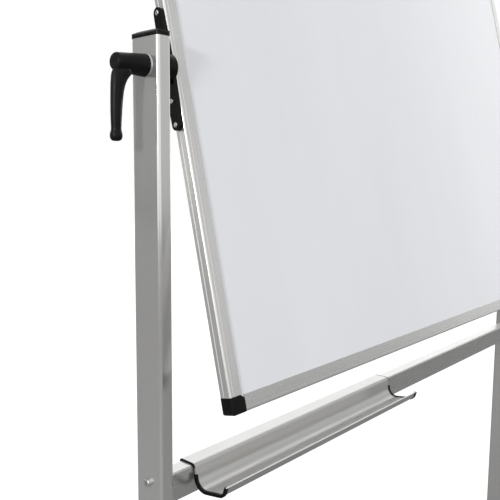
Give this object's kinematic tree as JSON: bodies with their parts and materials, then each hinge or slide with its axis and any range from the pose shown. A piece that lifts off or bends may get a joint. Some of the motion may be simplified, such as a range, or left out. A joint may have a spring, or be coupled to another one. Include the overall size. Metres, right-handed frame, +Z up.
{
  "type": "rolling whiteboard",
  "caption": "Rolling double-sided whiteboard on a wheeled stand, turned over on side pivots with clamp levers, with a pen tray hooked on the crossbar.",
  "frame": {"origin": "on the floor under the middle of the stand", "axes": "+X along the board's width to the reader's right, +Y away from the reader, +Z up"},
  "size_m": [1.4162, 0.6262, 1.8772],
  "materials": {
    "anodised_tube": "satin anodised",
    "anodised_tray": "satin anodised",
    "white_lacquer": "gloss lacquer",
    "core_board": "raw",
    "black_plastic": "fine grain",
    "lever_plastic": "fine grain",
    "dark_nylon": "matt",
    "wheel_nylon": "satin",
    "zinc_steel": "zinc plated"
  },
  "bodies": {
    "stand": {"left_post": "anodised_tube", "right_post": "anodised_tube", "post_caps": "black_plastic", "post_plugs": "black_plastic", "upper_crossbar": "anodised_tube", "lower_crossbar": "anodised_tube", "crossbar_bolts": "zinc_steel", "left_foot": "anodised_tube", "right_foot": "anodised_tube", "foot_caps": "black_plastic", "foot_bolts": "zinc_steel", "pivot_sleeves": "zinc_steel", "friction_discs": "dark_nylon", "lever_washers": "zinc_steel", "caster_stems": "zinc_steel"},
    "board": {"front_sheet": "white_lacquer", "back_sheet": "white_lacquer", "board_core": "core_board", "left_rail": "anodised_tube", "right_rail": "anodised_tube", "top_rail": "anodised_tube", "bottom_rail": "anodised_tube", "corner_caps": "black_plastic", "left_bracket": "black_plastic", "right_bracket": "black_plastic", "bracket_nuts": "zinc_steel", "bracket_screws": "zinc_steel"},
    "tray": {"pen_tray": "anodised_tray", "left_tray_trims": "black_plastic", "right_tray_trims": "black_plastic"},
    "left_clamp": {"left_clamp_stud": "zinc_steel", "left_lever_screw": "zinc_steel", "left_lever_spring": "zinc_steel"},
    "left_lever": {"left_lever": "lever_plastic", "left_lever_cap": "lever_plastic"},
    "right_clamp": {"right_clamp_stud": "zinc_steel", "right_lever_screw": "zinc_steel", "right_lever_spring": "zinc_steel"},
    "right_lever": {"right_lever": "lever_plastic", "right_lever_cap": "lever_plastic"},
    "front_left_caster": {"front_left_hood": "black_plastic", "front_left_axle": "zinc_steel"},
    "front_left_inner_wheel": {"front_left_inner_wheel": "wheel_nylon"},
    "front_left_outer_wheel": {"front_left_outer_wheel": "wheel_nylon"},
    "front_left_brake": {"front_left_brake": "lever_plastic"},
    "front_right_caster": {"front_right_hood": "black_plastic", "front_right_axle": "zinc_steel"},
    "front_right_inner_wheel": {"front_right_inner_wheel": "wheel_nylon"},
    "front_right_outer_wheel": {"front_right_outer_wheel": "wheel_nylon"},
    "front_right_brake": {"front_right_brake": "lever_plastic"},
    "rear_left_caster": {"rear_left_hood": "black_plastic", "rear_left_axle": "zinc_steel"},
    "rear_left_inner_wheel": {"rear_left_inner_wheel": "wheel_nylon"},
    "rear_left_outer_wheel": {"rear_left_outer_wheel": "wheel_nylon"},
    "rear_left_brake": {"rear_left_brake": "lever_plastic"},
    "rear_right_caster": {"rear_right_hood": "black_plastic", "rear_right_axle": "zinc_steel"},
    "rear_right_inner_wheel": {"rear_right_inner_wheel": "wheel_nylon"},
    "rear_right_outer_wheel": {"rear_right_outer_wheel": "wheel_nylon"},
    "rear_right_brake": {"rear_right_brake": "lever_plastic"}
  },
  "joints": [
    {"name": "board_flip", "type": "hinge", "parent": "stand", "child": "board", "pos_m": [0, 0, 1.43], "axis": [1, 0, 0], "continuous": true},
    {"name": "left_clamp_turn", "type": "hinge", "parent": "stand", "child": "left_clamp", "pos_m": [-0.654, 0, 1.43], "axis": [1, 0, 0], "range_deg": [-360, 0]},
    {"name": "left_lever_pull", "type": "slide", "parent": "left_clamp", "child": "left_lever", "axis": [-1, 0, 0], "range_m": [0, 0.004], "stiffness_N_per_m": 800, "springref_m": -0.003, "deforming": ["left_lever_spring"]},
    {"name": "right_clamp_turn", "type": "hinge", "parent": "stand", "child": "right_clamp", "pos_m": [0.654, 0, 1.43], "axis": [-1, 0, 0], "range_deg": [-360, 0]},
    {"name": "right_lever_pull", "type": "slide", "parent": "right_clamp", "child": "right_lever", "axis": [1, 0, 0], "range_m": [0, 0.004], "stiffness_N_per_m": 800, "springref_m": -0.003, "deforming": ["right_lever_spring"]},
    {"name": "tray_slide", "type": "slide", "parent": "stand", "child": "tray", "axis": [1, 0, 0], "range_m": [-0.048, 0.665]},
    {"name": "front_left_swivel", "type": "hinge", "parent": "stand", "child": "front_left_caster", "pos_m": [-0.643, -0.25, 0.05], "axis": [0, 0, 1], "continuous": true},
    {"name": "front_left_inner_roll", "type": "hinge", "parent": "front_left_caster", "child": "front_left_inner_wheel", "pos_m": [-0.6261, -0.27, 0.025], "axis": [1, 0, 0], "continuous": true},
    {"name": "front_left_outer_roll", "type": "hinge", "parent": "front_left_caster", "child": "front_left_outer_wheel", "pos_m": [-0.6599, -0.27, 0.025], "axis": [1, 0, 0], "continuous": true},
    {"name": "front_left_brake_press", "type": "hinge", "parent": "front_left_caster", "child": "front_left_brake", "pos_m": [-0.643, -0.29199, 0.04699], "axis": [1, 0, 0], "range_deg": [0, 20]},
    {"name": "front_right_swivel", "type": "hinge", "parent": "stand", "child": "front_right_caster", "pos_m": [0.643, -0.25, 0.05], "axis": [0, 0, 1], "continuous": true},
    {"name": "front_right_inner_roll", "type": "hinge", "parent": "front_right_caster", "child": "front_right_inner_wheel", "pos_m": [0.6261, -0.27, 0.025], "axis": [1, 0, 0], "continuous": true},
    {"name": "front_right_outer_roll", "type": "hinge", "parent": "front_right_caster", "child": "front_right_outer_wheel", "pos_m": [0.6599, -0.27, 0.025], "axis": [1, 0, 0], "continuous": true},
    {"name": "front_right_brake_press", "type": "hinge", "parent": "front_right_caster", "child": "front_right_brake", "pos_m": [0.643, -0.29199, 0.04699], "axis": [1, 0, 0], "range_deg": [0, 20]},
    {"name": "rear_left_swivel", "type": "hinge", "parent": "stand", "child": "rear_left_caster", "pos_m": [-0.643, 0.25, 0.05], "axis": [0, 0, 1], "continuous": true},
    {"name": "rear_left_inner_roll", "type": "hinge", "parent": "rear_left_caster", "child": "rear_left_inner_wheel", "pos_m": [-0.6261, 0.27, 0.025], "axis": [1, 0, 0], "continuous": true},
    {"name": "rear_left_outer_roll", "type": "hinge", "parent": "rear_left_caster", "child": "rear_left_outer_wheel", "pos_m": [-0.6599, 0.27, 0.025], "axis": [1, 0, 0], "continuous": true},
    {"name": "rear_left_brake_press", "type": "hinge", "parent": "rear_left_caster", "child": "rear_left_brake", "pos_m": [-0.643, 0.29199, 0.04699], "axis": [-1, 0, 0], "range_deg": [0, 20]},
    {"name": "rear_right_swivel", "type": "hinge", "parent": "stand", "child": "rear_right_caster", "pos_m": [0.643, 0.25, 0.05], "axis": [0, 0, 1], "continuous": true},
    {"name": "rear_right_inner_roll", "type": "hinge", "parent": "rear_right_caster", "child": "rear_right_inner_wheel", "pos_m": [0.6261, 0.27, 0.025], "axis": [1, 0, 0], "continuous": true},
    {"name": "rear_right_outer_roll", "type": "hinge", "parent": "rear_right_caster", "child": "rear_right_outer_wheel", "pos_m": [0.6599, 0.27, 0.025], "axis": [1, 0, 0], "continuous": true},
    {"name": "rear_right_brake_press", "type": "hinge", "parent": "rear_right_caster", "child": "rear_right_brake", "pos_m": [0.643, 0.29199, 0.04699], "axis": [-1, 0, 0], "range_deg": [0, 20]}
  ]
}
